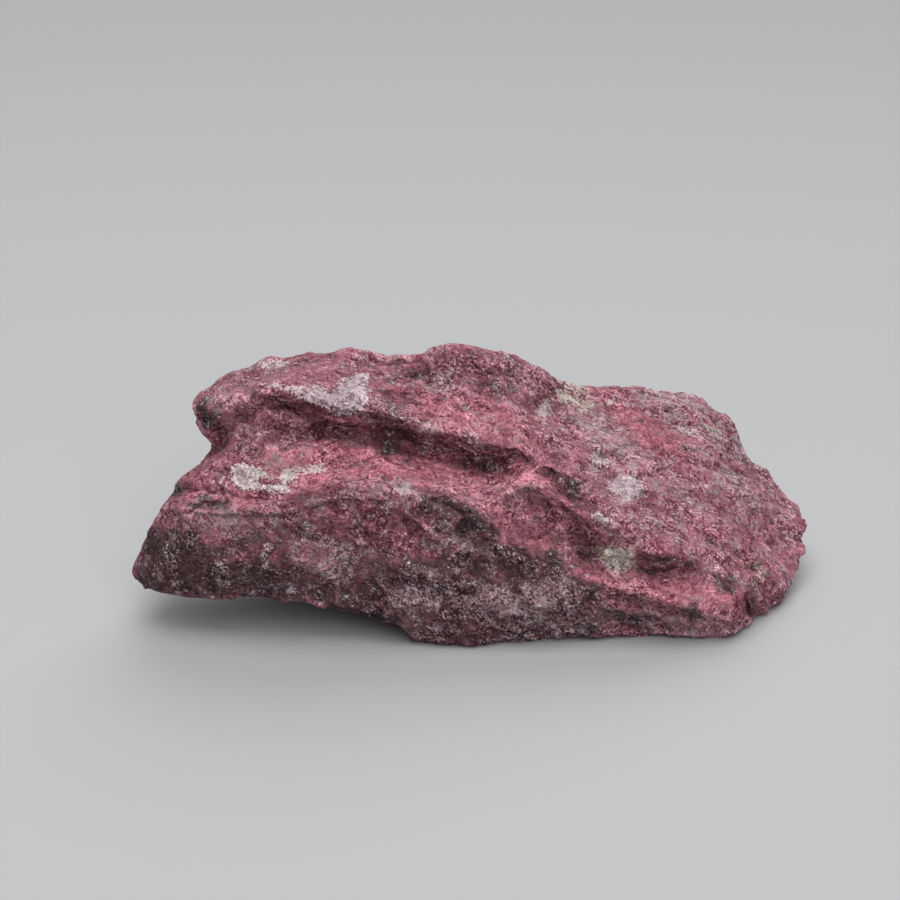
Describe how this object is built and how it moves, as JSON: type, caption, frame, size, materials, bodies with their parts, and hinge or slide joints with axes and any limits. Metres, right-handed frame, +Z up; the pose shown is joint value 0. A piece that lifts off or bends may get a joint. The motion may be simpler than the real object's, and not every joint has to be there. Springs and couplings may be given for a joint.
{
  "type": "raw thulite stone",
  "caption": "Rough, unpolished piece of pink thulite with stepped ledges, hollows and a flat face that it rests on.",
  "frame": {"origin": "centre of the stone's bounding box, at the level of the flat face that it rests on", "axes": "+Z up; +X along the stone's length, from the overhanging beak to the low broad end; +Y from the stepped front to the back"},
  "size_m": [0.0908, 0.042, 0.0343],
  "materials": {
    "thulite": "rough broken stone, sugary pink grains with pale and dark specks, matt"
  },
  "bodies": {
    "root": {"thulite_stone": "thulite"}
  },
  "joints": []
}
